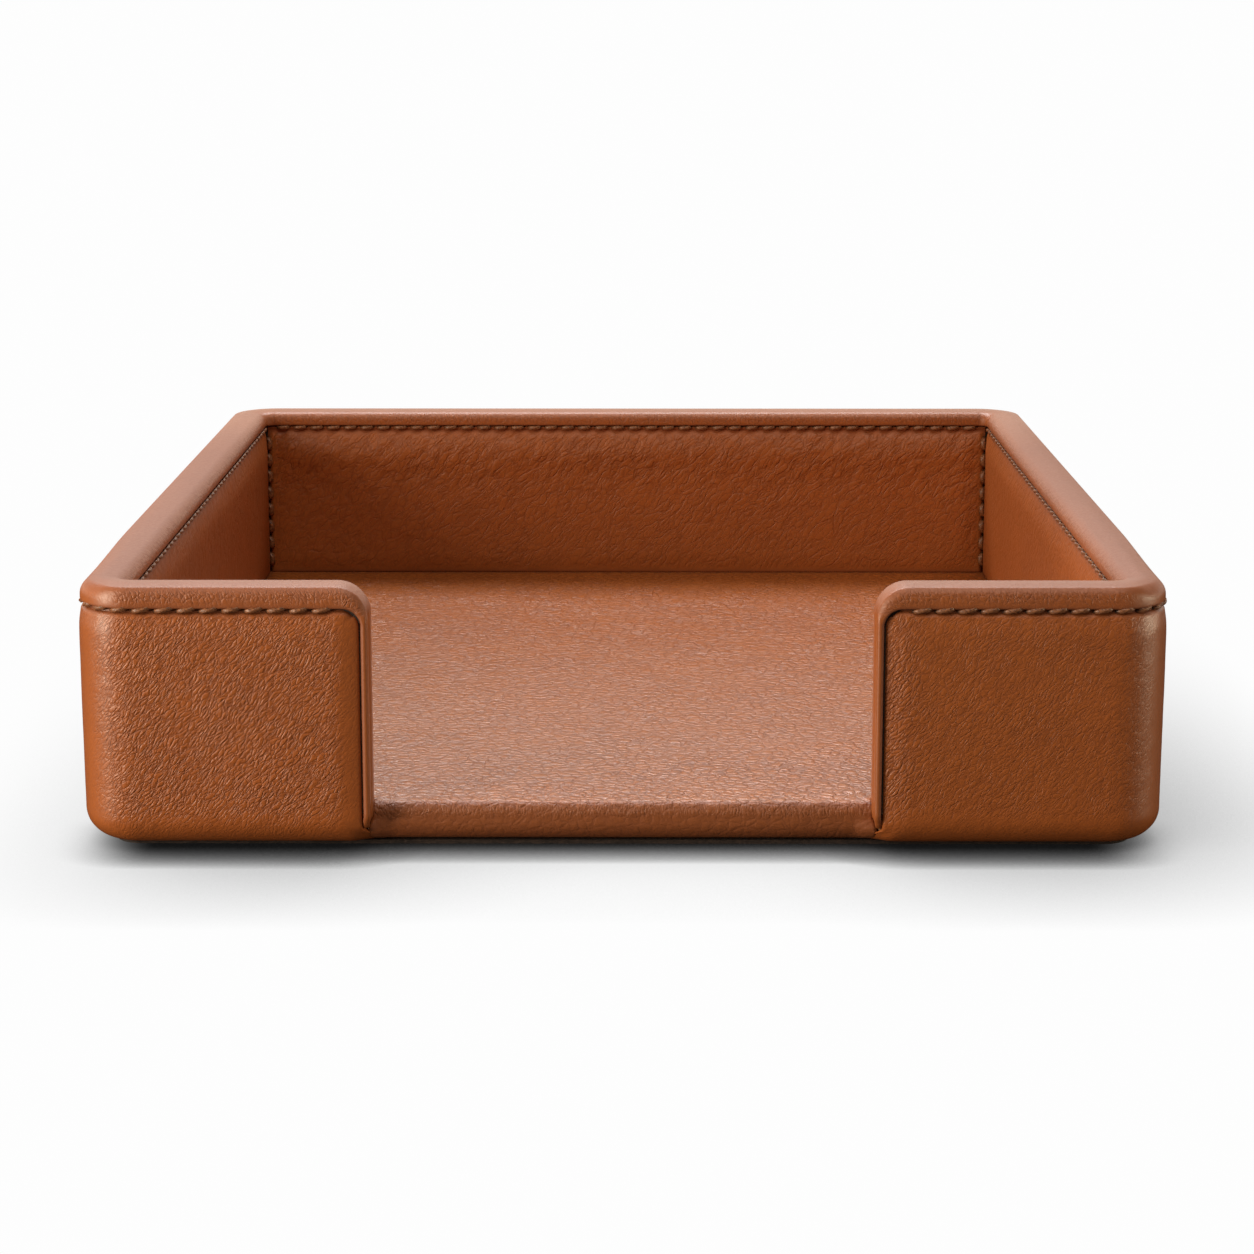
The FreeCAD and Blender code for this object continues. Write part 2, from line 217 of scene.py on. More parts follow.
# pebbled hide with creases that run along one lay; Place is in millimetres on the flat hide
def makeHideGrain():
    tree, given, result = startGroup(
        "hideGrain",
        [("Place", "Vector"), ("Lay", "Float"), ("Stretch", "Float"), ("Fineness", "Float"),
         ("Folds", "Float"), ("Line", "Float"), ("Amount", "Float")],
        [("Height", "Float"), ("Crease", "Float")],
    )
    place = given["Place"]
    for scale, pull in ((0.07, 2.6), (0.34, 1.3)):
        drift = noiseAt(tree, given["Place"], scale, 2.0)["Color"]
        drift = vectors(tree, "SUBTRACT", drift, (0.5, 0.5, 0.5))
        place = vectors(tree, "ADD", place, vectors(tree, "SCALE", drift, pull))
    turned = put(tree, "VectorRotate", {"Vector": place, "Angle": given["Lay"]}, rotation_type="Z_AXIS")
    squeeze = put(tree, "CombineXYZ", {"X": maths(tree, "DIVIDE", 1.0, given["Stretch"]), "Y": 1.0, "Z": 1.0})
    laid = vectors(tree, "MULTIPLY", turned.outputs[0], squeeze.outputs[0])

    def cellEdge(scale):
        cells = put(tree, "TexVoronoi", {"Vector": laid, "Scale": scale}, feature="DISTANCE_TO_EDGE")
        return cells.outputs["Distance"]

    cells = cellEdge(given["Fineness"])
    dome = ranged(tree, cells, -0.05, 0.38)
    line = ranged(tree, cells, 0.0, given["Line"])
    smallDome = ranged(tree, cellEdge(maths(tree, "MULTIPLY", given["Fineness"], 2.1)), 0.0, 0.3)
    foldPlace = vectors(tree, "MULTIPLY", laid, (0.55, 0.5, 1.0))
    foldNoise = noiseAt(tree, foldPlace, given["Fineness"], 1.5)["Fac"]
    fold = ranged(tree, maths(tree, "ABSOLUTE", maths(tree, "SUBTRACT", foldNoise, 0.5)), 0.0, 0.07)
    patch = ranged(tree, noiseAt(tree, given["Place"], 0.08, 2.0)["Fac"], 0.3, 0.7, 0.75, 1.0)
    strength = maths(tree, "MULTIPLY", given["Amount"], patch)
    pores = noiseAt(tree, given["Place"], 3.6, 3.0)["Fac"]
    body = added(tree, maths(tree, "MULTIPLY", dome, 0.5), line, 0.25)
    body = added(tree, body, smallDome, 0.15)
    body = added(tree, body, fold, given["Folds"])
    body = maths(tree, "MULTIPLY", body, strength)
    height = added(tree, body, pores, 0.09)
    valley = maths(tree, "SUBTRACT", 1.0, maths(tree, "MULTIPLY", line, fold))
    tree.links.new(height, result["Height"])
    tree.links.new(maths(tree, "MULTIPLY", valley, strength), result["Crease"])
    return tree


# colour and gloss of dyed hide: cloudy dye, painted shade in the creases, and pressed edges darkened with
# painted shade
def makeHideTone():
    tree, given, result = startGroup(
        "hideTone",
        [("Place", "Vector"), ("Crease", "Float"), ("Crease Shade", "Float"), ("Pressed Shade", "Float"),
         ("Dye", "Color"), ("Deep Dye And Shade", "Color"), ("Gloss", "Float")],
        [("Color", "Color"), ("Roughness", "Float")],
    )
    clouded = ranged(tree, noiseAt(tree, given["Place"], 0.05, 5.0, 0.6)["Fac"], 0.3, 0.7, 0.0, 0.1)
    specked = ranged(tree, noiseAt(tree, given["Place"], 1.3, 3.0)["Fac"], 0.35, 0.7, 0.0, 0.12)
    colour = mixed(tree, maths(tree, "ADD", clouded, specked), given["Dye"], given["Deep Dye And Shade"])
    # painted shade: creases are darkened towards the deep dye
    creaseShaded = maths(tree, "MULTIPLY", given["Crease"], given["Crease Shade"], clamp=True)
    colour = mixed(tree, creaseShaded, colour, given["Deep Dye And Shade"])
    # pressed edges and painted shade: seams, edges, undersides and tops are darkened towards the deep dye
    pressedShade = maths(tree, "MULTIPLY", given["Pressed Shade"], 0.6, clamp=True)
    colour = mixed(tree, pressedShade, colour, given["Deep Dye And Shade"])
    rough = added(tree, given["Gloss"], given["Crease"], 0.12)
    rough = added(tree, rough, specked, 0.35)
    rough = added(tree, rough, pressedShade, 0.5)
    tree.links.new(colour, result["Color"])
    tree.links.new(rough, result["Roughness"])
    return tree


# loose flecks for board, card, foam and felt
def makeFibreFleck():
    tree, given, result = startGroup(
        "fibreFleck",
        [("Place", "Vector"), ("Size", "Float"), ("Pale", "Color"), ("Dark", "Color")],
        [("Color", "Color"), ("Roughness", "Float"), ("Height", "Float")],
    )
    scale = maths(tree, "DIVIDE", 1.0, given["Size"])
    flake = noiseAt(tree, given["Place"], scale, 6.0, 0.65)["Fac"]
    drawn = vectors(tree, "MULTIPLY", given["Place"], (0.2, 1.0, 1.0))
    strand = noiseAt(tree, drawn, maths(tree, "MULTIPLY", scale, 2.6), 3.0)["Fac"]
    blend = maths(tree, "MULTIPLY", maths(tree, "ADD", flake, strand), 0.5)
    tree.links.new(mixed(tree, ranged(tree, blend, 0.36, 0.64), given["Pale"], given["Dark"]), result["Color"])
    tree.links.new(ranged(tree, blend, 0.3, 0.7, 0.72, 0.95), result["Roughness"])
    tree.links.new(blend, result["Height"])
    return tree


hideGrain = makeHideGrain()
hideTone = makeHideTone()
fibreFleck = makeFibreFleck()


def srgb(red, green, blue):
    def straight(level):
        level /= 255
        return level / 12.92 if level <= 0.04045 else ((level + 0.055) / 1.055) ** 2.4
    return (straight(red), straight(green), straight(blue), 1.0)


def startMaterial(name):
    material = bpy.data.materials.new(name)
    material.use_nodes = True
    material.node_tree.nodes.clear()
    return material, material.node_tree


def endMaterial(tree, sockets):
    shader = put(tree, "BsdfPrincipled", sockets)
    put(tree, "OutputMaterial", {"Surface": shader.outputs["BSDF"]})


def layGrain(tree, place, look, amount):
    return useGroup(tree, hideGrain, {
        "Place": place, "Lay": look["lay"], "Stretch": look["stretch"], "Fineness": look["fineness"],
        "Folds": look["folds"], "Line": look["line"], "Amount": amount,
    })


dye = srgb(164, 88, 37)
deepDyeAndShade = srgb(104, 46, 14)


def leatherFinish(name, look, crossLook=None):
    material, tree = startMaterial(name)
    place = pointValue(tree, "hideMap")
    finish = split(tree, pointValue(tree, "finish"))
    grain = layGrain(tree, place, look, finish["X"])
    height, crease = grain["Height"], grain["Crease"]
    if crossLook:
        cross = layGrain(tree, place, crossLook, finish["Z"])
        height = maths(tree, "ADD", height, cross["Height"])
        crease = maths(tree, "MAXIMUM", crease, cross["Crease"])
    tone = useGroup(tree, hideTone, {
        "Place": place, "Crease": crease, "Crease Shade": look["creaseShade"], "Pressed Shade": finish["Y"],
        "Dye": look["dye"], "Deep Dye And Shade": deepDyeAndShade, "Gloss": look["roughness"],
    })
    bump = put(tree, "Bump", {"Height": height, "Distance": look["relief"] * mm})
    wax = 0.0 if crossLook else finish["Z"]
    endMaterial(tree, {
        "Base Color": tone["Color"], "Roughness": tone["Roughness"], "Normal": bump.outputs["Normal"],
        "IOR": look["ior"], "Coat Weight": wax, "Coat Roughness": look["roughness"],
    })
    return material


wrapLook = {
    "lay": math.radians(-50), "stretch": 2.8, "fineness": 1.3, "folds": 0.32, "line": 0.09, "relief": 0.14,
    "creaseShade": 0.35, "roughness": 0.38, "ior": 1.47, "dye": dye,
}
# painted shade: the binding's dye is a little darker than the rest of the hide, so its lit tops render less
# light
rimShadedLook = {
    "lay": math.radians(-62), "stretch": 1.9, "fineness": 1.15, "folds": 0.35, "line": 0.09, "relief": 0.11,
    "creaseShade": 0.25, "roughness": 0.4, "ior": 1.54, "dye": srgb(160, 86, 37),
}
panelLook = {
    "lay": math.radians(48), "stretch": 2.8, "fineness": 0.78, "folds": 0.7, "line": 0.09, "relief": 0.15,
    "creaseShade": 0.35, "roughness": 0.42, "ior": 1.45, "dye": dye,
}
# painted light: the floor's dye is lighter than the rest of the hide, standing in for light the floor lacks
floorLitLook = {
    "lay": math.radians(3), "stretch": 1.3, "fineness": 0.53, "folds": 0.3, "line": 0.15, "relief": 0.3,
    "creaseShade": 0.6, "roughness": 0.28, "ior": 1.6, "dye": srgb(175, 98, 41),
}
lipLook = {"lay": math.radians(84), "stretch": 2.6, "fineness": 1.3, "folds": 0.5, "line": 0.09}
wrapLeather = leatherFinish("wrapLeather", wrapLook)
rimLeather = leatherFinish("rimLeather", rimShadedLook)
panelLeather = leatherFinish("panelLeather", panelLook)
floorLeather = leatherFinish("floorLeather", floorLitLook, lipLook)


# waxed thread: fibres lie along the twist
def threadFinish():
    look = {
        "pale": srgb(152, 96, 59), "dark": srgb(80, 43, 23), "hole": srgb(26, 13, 7), "fibre": 0.48,
        "lay": math.radians(38), "relief": 0.06,
    }
    material, tree = startMaterial("waxedThread")
    place = pointValue(tree, "hideMap")
    turned = put(tree, "VectorRotate", {"Vector": place, "Angle": look["lay"]}, rotation_type="Z_AXIS")
    fleck = useGroup(tree, fibreFleck, {
        "Place": turned.outputs[0], "Size": look["fibre"], "Pale": look["pale"], "Dark": look["dark"],
    })
    # painted shade: the stitch ends, where the thread dives into its holes, are turned towards a near-black
    # hole colour
    stitchEndShade = split(tree, pointValue(tree, "finish"))["Y"]
    colour = mixed(tree, stitchEndShade, fleck["Color"], look["hole"])
    bump = put(tree, "Bump", {"Height": fleck["Height"], "Strength": 0.8, "Distance": look["relief"] * mm})
    rough = ranged(tree, fleck["Roughness"], 0.7, 0.95, 0.35, 0.5)
    endMaterial(tree, {"Base Color": colour, "Roughness": rough, "Normal": bump.outputs["Normal"]})
    return material


waxedThread = threadFinish()


# plain carried-over pieces: the coordinates are the object's own, in millimetres
def fleckFinish(name, size, pale, dark, relief):
    material, tree = startMaterial(name)
    place = vectors(tree, "SCALE", put(tree, "TexCoord").outputs["Object"], 1 / mm)
    fleck = useGroup(tree, fibreFleck, {"Place": place, "Size": size, "Pale": pale, "Dark": dark})
    bump = put(tree, "Bump", {"Height": fleck["Height"], "Strength": 0.7, "Distance": relief * mm})
    endMaterial(tree, {
        "Base Color": fleck["Color"], "Roughness": fleck["Roughness"], "Normal": bump.outputs["Normal"],
    })
    return material


carriedFinishes = {
    "wall_board": fleckFinish("fibreboard", 2.2, srgb(150, 116, 78), srgb(112, 80, 50), 0.2),
    "base_board": fleckFinish("baseFibreboard", 2.6, srgb(144, 110, 74), srgb(108, 78, 48), 0.2),
    # the padding foam is coloured dark as painted shade in the seam gaps, where it shows between binding and
    # panels
    "foam": fleckFinish("paddingFoam", 0.7, srgb(70, 54, 44), srgb(44, 32, 26), 0.25),
    "filler_card": fleckFinish("fillerCard", 1.4, srgb(120, 104, 84), srgb(92, 78, 60), 0.1),
    "bottom_pad": fleckFinish("undersideFelt", 0.9, srgb(52, 36, 28), srgb(28, 19, 15), 0.35),
}
for nodeName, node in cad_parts.items():
    for ending, finish in carriedFinishes.items():
        if nodeName.endswith(ending):
            node.data.materials.clear()
            node.data.materials.append(finish)
print("materials ready")


# Seam runs

# the outline at the height of the outer seam, from the left end of the opening round the tray to the
# right end: each run is (start centre, stop centre, start angle, stop angle, stitch count)
outerStops = [
    (-tray["openHalf"], -cornerY), (-cornerX, -cornerY), (-cornerX, cornerY),
    (cornerX, cornerY), (cornerX, -cornerY), (tray["openHalf"], -cornerY),
]
outerRuns = []
for number, count in enumerate((9, 46, 42, 46, 9)):
    start, stop = outerStops[number:number + 2]
    angle = 270 - 90 * number
    outerRuns.append((start, stop, angle, angle, count))
    if number < 4:
        outerRuns.append((stop, stop, angle, angle - 90, 4))
frontRuns = (0, len(outerRuns) - 1)


def atShare(start, stop, share):
    return [a + (b - a) * share for a, b in zip(start, stop)]


def facingAt(fromAngle, toAngle, share):
    angle = math.radians(fromAngle + (toAngle - fromAngle) * share)
    return math.cos(angle), math.sin(angle)


# where in its stitch a place along a run lies: whole numbers are the holes
def stitchPhase(index, share):
    start, stop, _, _, count = outerRuns[index]
    if index in frontRuns:
        x = abs(atShare(start, stop, share)[0])
        return (x - tray["seamStart"]) / (cornerX - tray["seamStart"]) * count
    return share * count


# columns of the outline: centre, outward direction, stitch phase and run along the outer face
def walkOutline(endX, edgeSteps, frontStep, sideStep, turnSteps):
    columns = []
    for index, (start, stop, fromAngle, toAngle, _) in enumerate(outerRuns):
        length = math.dist(start, stop)
        if length == 0:
            shares = [k / turnSteps for k in range(turnSteps + 1)]
        elif index in frontRuns:
            ends = [endX + step for step in edgeSteps]
            places = ends + spread(ends[-1], cornerX, frontStep)
            shares = [(x - tray["openHalf"]) / length for x in places]
            if index:
                shares = [1 - share for share in reversed(shares)]
        else:
            shares = [x / length for x in spread(0, length, sideStep)]
        for share in shares:
            centre, outward = atShare(start, stop, share), facingAt(fromAngle, toAngle, share)
            columns.append((centre, outward, stitchPhase(index, share)))
    runs = [0.0]
    for before, after in zip(columns, columns[1:]):
        ends = [
            [centre[k] + tray["corner"] * outward[k] for k in (0, 1)]
            for centre, outward, _ in (before, after)
        ]
        runs.append(runs[-1] + math.dist(*ends))
    return [column + (run,) for column, run in zip(columns, runs)]


# Outer wrap

wrap = {
    "endX": tray["openHalf"] + tray["stripWidth"] + tray["groove"],
    "top": tray["outerSeam"] - 0.15,
    "rise": 0.35,
    "cornerRadius": 3.2,
    "edgeRadius": 1.0,
    "cutRadius": 0.5,
    "bulge": 0.24,
    "cutRoll": 0.8,
    "cutReach": 6.0,
    "topRoll": 0.4,
    "topReach": 6.0,
    "deepest": 0.98,
    "pucker": 0.12,
    "crumple": 0.07,
    "foldTilt": math.radians(55),
    "foldLength": 5.5,
    "foldWidth": 2.6,
    "swell": 0.1,
    "swellSize": 16,
    "tuck": 0.1,
    "seamTuck": 0.45,
    "bottomRadius": 6.2,
    "lipSetback": 2.6,
    "hem": 16.0,
    "hemAtCorner": 11.0,
    "edgeSteps": [0, 0.06, 0.18, 0.36, 0.6, 0.95, 1.4, 1.9],
    "frontStep": 0.6,
    "sideStep": 1.25,
    "turnSteps": 30,
    "rowStep": 0.66,
    "wax": 0.6,
    "cornerShade": 0.27,
}


# square corner of the grid drawn into the rounded corner of the panel
def roundCorner(a, b, radius):
    if a >= radius or b >= radius:
        return a, b
    p, q = radius - a, radius - b
    reach = max(p, q)
    angle = math.pi / 4 * q / p if p > q else math.pi / 2 - math.pi / 4 * p / q
    return radius - reach * math.cos(angle), radius - reach * math.sin(angle)


def buildOuterWrap():
    columns = walkOutline(
        wrap["endX"], wrap["edgeSteps"], wrap["frontStep"], wrap["sideStep"], wrap["turnSteps"],
    )
    radius, under, top = wrap["bottomRadius"], tray["underside"], wrap["top"]
    rollZ = under + radius
    faceLength = top - rollZ
    faceRows = wrap["edgeSteps"] + spread(wrap["edgeSteps"][-1], faceLength, wrap["rowStep"])
    rollTurns = [math.radians(angle) for angle in range(0, 91, 6)]
    thick = tray["leather"]
    far = 99.0
    points, hideMap, finish = [], [], []

    for (cx, cy), (nx, ny), phase, run in columns:
        onFront = ny < -0.999
        fromEnd = abs(cx) - wrap["endX"] if onFront else far
        inSeam = softStep(4.6, 6.0, fromEnd)
        side = -1 if cx < 0 else 1
        # the grain fades at the left cut and grows at the right one
        atEnd = 0.3 + softStep(2, 6, fromEnd) if side < 0 else 1.3 - 0.5 * softStep(3, 9, fromEnd)
        rollBack = wrap["cutRoll"] * max(0.0, 1 - fromEnd / wrap["cutReach"]) ** 2
        # the hide is drawn smooth round the corners
        drawn = softStep(0.35, 0.85, abs(nx)) * softStep(0.02, 0.2, abs(ny))
        # painted shade: the hide is darkened on the corners where they turn towards the sides
        cornerShaded = wrap["cornerShade"] * softStep(0.75, 0.95, abs(nx)) * softStep(0.02, 0.2, abs(ny))
        wax = wrap["wax"] * softStep(0.2, 0.5, abs(nx)) * softStep(0.02, 0.3, abs(ny))
        atEnd *= 1 - 0.85 * drawn
        ring = []

        # back to the plan: depth is measured inward, slide towards the opening
        def add(depth, z, slide, v, grain, pressedShade):
            reach = tray["corner"] - depth
            ring.append((cx + nx * reach - side * slide, cy + ny * reach, z))
            hideMap.append((run, v, 0.0))
            finish.append((grain, pressedShade, wax))

        # the face at a drop below its top edge
        def faceDepth(b):
            edge = min(fromEnd, b)
            depth = max(turnedEdge(b, wrap["edgeRadius"]), turnedEdge(fromEnd, wrap["cutRadius"]))
            depth += wrap["topRoll"] * max(0.0, 1 - b / wrap["topReach"]) ** 2
            depth = min(depth, wrap["deepest"]) + rollBack
            full = softStep(0.3, 4.5, edge) * (1 - 0.6 * softStep(6, faceLength, b))
            depth -= wrap["bulge"] * full
            depth += wrap["pucker"] * holeAt(phase) * inSeam * math.exp(-((b - 0.6) / 1.6) ** 2)
            wrinkle = crumple(run, b, 1.3, wrap["foldTilt"], wrap["foldLength"], wrap["foldWidth"]) - 0.5
            depth -= wrap["crumple"] * wrinkle * softStep(0.8, 4, edge) * (1 - 0.7 * drawn)
            depth -= wrap["swell"] * swell(run, b, 7.7, wrap["swellSize"]) * softStep(1, 6, edge)
            return depth

        # the part that is turned in under the binding
        tuck = wrap["tuck"] + wrap["seamTuck"] * inSeam
        rise = wrap["rise"] * (1 - inSeam)
        endA, endB = roundCorner(max(fromEnd, 0.0), 0.0, wrap["cornerRadius"])
        slide = fromEnd - endA if onFront else 0
        for depth, tucked in ((thick, tuck), (wrap["deepest"], tuck * 0.9)):
            add(depth + rollBack, top - endB + rise + tucked, slide, -tucked, 0, 1)
        for b in faceRows:
            a1, b1 = roundCorner(fromEnd, b, wrap["cornerRadius"]) if onFront else (fromEnd, b)
            z = top - b1 + rise * (1 - softStep(0, 9, b))
            grain = softStep(0.1, 1.3, b) * atEnd
            grain *= 1 - 0.5 * softStep(faceLength - 4, faceLength + 3, b)
            # pressed edge and painted shade: darker in the seam under the binding and along the cut of the
            # opening
            pressedShade = 1 - min(softStep(0.1, 0.9, b), 0.5 + softStep(-0.2, 0.4, fromEnd))
            pressedShade = max(pressedShade, cornerShaded)
            add(faceDepth(b), z, fromEnd - a1 if onFront else 0, b, grain, pressedShade)

        # bottom edge: near the opening it slips under the strip's foot and back to the lip
        endGap = wrap["endX"] - tray["openHalf"]
        reachOut = endGap * max(0.0, 1 - fromEnd / 6)
        near = 1 - softStep(-0.6, 4.4, fromEnd + endGap - reachOut)
        for turn in rollTurns:
            depth = radius * (1 - math.cos(turn))
            z = rollZ - radius * math.sin(turn)
            low = 1 - softStep(2.6, 4.3, z)
            b = faceLength + radius * turn
            depth += faceDepth(b) * (1 - low) * math.cos(turn)
            setback = wrap["lipSetback"] * near * low
            depth = setback + depth * (1 - setback / wrap["hem"])
            grain = 0.55 * (1 - 0.6 * turn) * atEnd
            # painted shade: darker round the bottom edge towards the underside
            add(depth, z, reachOut * low, b, grain, max(cornerShaded, 0.45 * softStep(0.3, 1.3, turn)))
        toCorner = abs(abs(cx) - cornerX) + abs(abs(cy) - cornerY)
        hem = wrap["hemAtCorner"] + (wrap["hem"] - wrap["hemAtCorner"]) * softStep(0, 8, toCorner)
        hemStart = wrap["lipSetback"] * near + radius * (1 - wrap["lipSetback"] * near / wrap["hem"])
        for share in (0.33, 0.66, 1.0):
            add(hemStart + (hem - hemStart) * share, under, reachOut, 60 + 9 * share, 0.2, 0.2)

        # inner face, coarse because it lies on the foam and the boards
        add(hem, under + thick, reachOut, 70, 0, 0)
        add(hemStart, under + thick, reachOut, 71, 0, 0)
        for angle in (60, 30):
            turn = math.radians(angle)
            low = 1 - softStep(2.6, 4.3, rollZ - radius * math.sin(turn))
            setback = wrap["lipSetback"] * near * low
            depth = radius - (radius - thick) * math.cos(turn)
            add(setback + depth, rollZ - (radius - thick) * math.sin(turn), reachOut * low, 72, 0, 0)
        for share in (0.0, 0.35, 0.65, 0.9):
            add(thick + rollBack, rollZ + faceLength * share, 0, 73, 0, 0)
        points.extend(ring)

    faces = sectionFaces(len(columns), len(points) // len(columns))
    return makePiece("outerWrap", points, faces, hideMap, finish, wrapLeather, ["outer_wrap"])


outerWrap = buildOuterWrap()
print("outer wrap", len(outerWrap.data.polygons), "faces")


# Rim binding

rim = {
    "openRadius": 6.5,
    "foot": 4.6,
    "outerRadius": 1.5,
    "cornerRound": 1.3,
    "innerRadius": 2.0,
    "sideRound": 1.2,
    "outerLeaf": 4.35,
    "innerLeaf": 3.65,
    "stripLeaf": 1.4,
    "windowRadius": 3.55,
    "edgeRadius": 0.4,
    "beadRadius": 0.68,
    "pinch": 0.15,
    "lean": 0.7,
    "crown": 0.25,
    "beadDip": 0.4,
    "beadAt": 2.6,
    "beadReach": 0.6,
    "flatEnd": 6.1,
    "flatShares": [0.0, 0.06, 0.12, 0.18, 0.25, 0.33, 0.42, 0.53, 0.66, 0.82, 1.0],
    "tuckIn": 1.6,
    "tuckDown": 0.5,
    "ruck": 0.05,
    "wax": 0.25,
    "topShade": 0.35,
    "stripStep": 0.9,
    "frontStep": 0.6,
    "sideStep": 1.25,
    "openTurns": 16,
    "turnSteps": 26,
}


# how far the binding's leaf reaches round the rounded corner of the opening
def leafInTurn(angle, leaf):
    radius, window = rim["openRadius"], rim["windowRadius"]
    ux, uz = -math.cos(angle), math.sin(angle)
    low, high = 0.0, radius
    for _ in range(30):
        middle = (low + high) / 2
        dx = rim["stripLeaf"] + window - (radius + middle * ux)
        dz = middle * uz - (radius - leaf - window)
        inside = dx <= 0 or dz <= 0
        if inside:
            inside = middle * -ux <= radius - rim["stripLeaf"] and middle * uz <= radius - leaf
        else:
            inside = math.hypot(dx, dz) <= window
        low, high = (middle, high) if inside else (low, middle)
    return radius - low


# columns of the binding: outer top corner, outward, up, outer and inner leaf, stitch phase and run
def walkRim():
    top, front = tray["height"], -tray["halfDepth"]
    openX, openTop = tray["openHalf"] + rim["openRadius"], tray["height"] - rim["openRadius"]
    ahead = []
    for z in [rim["foot"]] + spread(rim["foot"], openTop, rim["stripStep"]):
        ahead.append(((tray["openHalf"], z), (1.0, 0.0), rim["stripLeaf"], rim["stripLeaf"]))
    for k in range(rim["openTurns"] + 1):
        angle = math.pi / 2 * k / rim["openTurns"]
        up = (math.cos(angle), math.sin(angle))
        place = (openX - rim["openRadius"] * up[0], openTop + rim["openRadius"] * up[1])
        leaves = [leafInTurn(angle, rim[leaf]) for leaf in ("outerLeaf", "innerLeaf")]
        ahead.append((place, up, *leaves))

    # a place that is not sewn has a phase below zero
    def openEnd(side, places):
        return [
            (Vector((side * x, front, z)), Vector((0, -1, 0)), Vector((-side * ux, 0, uz)), *leaves, -99.0)
            for (x, z), (ux, uz), *leaves in places
        ]

    columns = openEnd(-1, ahead)
    steps = (openX + rim["frontStep"], [0], rim["frontStep"], rim["sideStep"], rim["turnSteps"])
    for (cx, cy), (nx, ny), phase, _ in walkOutline(*steps):
        place = Vector((cx + nx * tray["corner"], cy + ny * tray["corner"], top))
        outward, up = Vector((nx, ny, 0)), Vector((0, 0, 1))
        columns.append((place, outward, up, rim["outerLeaf"], rim["innerLeaf"], phase))
    columns += openEnd(1, reversed(ahead))
    runs = [0.0]
    for before, after in zip(columns, columns[1:]):
        runs.append(runs[-1] + (after[0] - before[0]).length)
    return [column + (run,) for column, run in zip(columns, runs)]


# one side of the binding's section from the leaf's edge up to the top, as (depth, drop)
def leafProfile(leaf, topRadius, edge):
    topRadius = min(topRadius, leaf - edge)
    outline = [(edge * (1 - sine), leaf - edge * (1 - cosine)) for sine, cosine in quarterTurn(5)]
    for share in (0.25, 0.5, 0.75):
        outline.append((0.0, leaf - edge + (topRadius - leaf + edge) * share))
    return outline + [(topRadius * (1 - cosine), topRadius * (1 - sine)) for sine, cosine in quarterTurn(8)]


